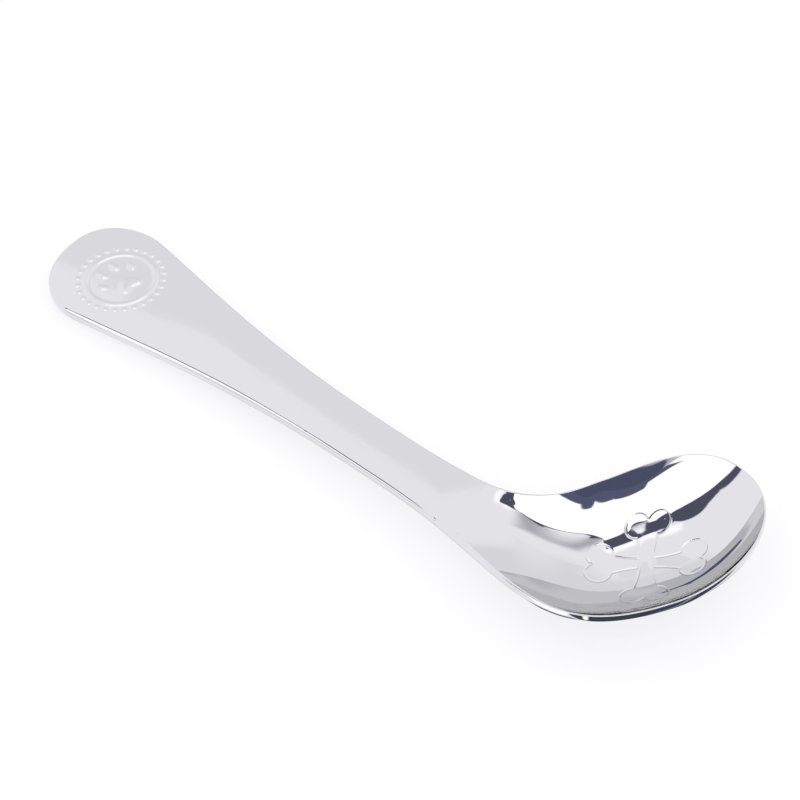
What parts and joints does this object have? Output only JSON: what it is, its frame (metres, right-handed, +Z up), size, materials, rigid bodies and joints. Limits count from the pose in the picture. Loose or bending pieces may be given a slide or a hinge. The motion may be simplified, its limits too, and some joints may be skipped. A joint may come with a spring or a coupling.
{
  "type": "toddler training spoon",
  "caption": "One-piece polished steel toddler's spoon with a straight flat handle, broad round end and a deep bowl turned to the left.",
  "frame": {"origin": "centre of the bounding box on the table that the spoon lies on, bowl up", "axes": "+X runs along the handle towards the bowl, +Y is the side that the bowl is turned to, +Z is up"},
  "size_m": [0.132, 0.0442, 0.0103],
  "materials": {
    "polished_steel": "stainless steel, mirror polished all over"
  },
  "bodies": {
    "root": {"handle": "polished_steel", "neck": "polished_steel", "bowl": "polished_steel"}
  },
  "joints": []
}
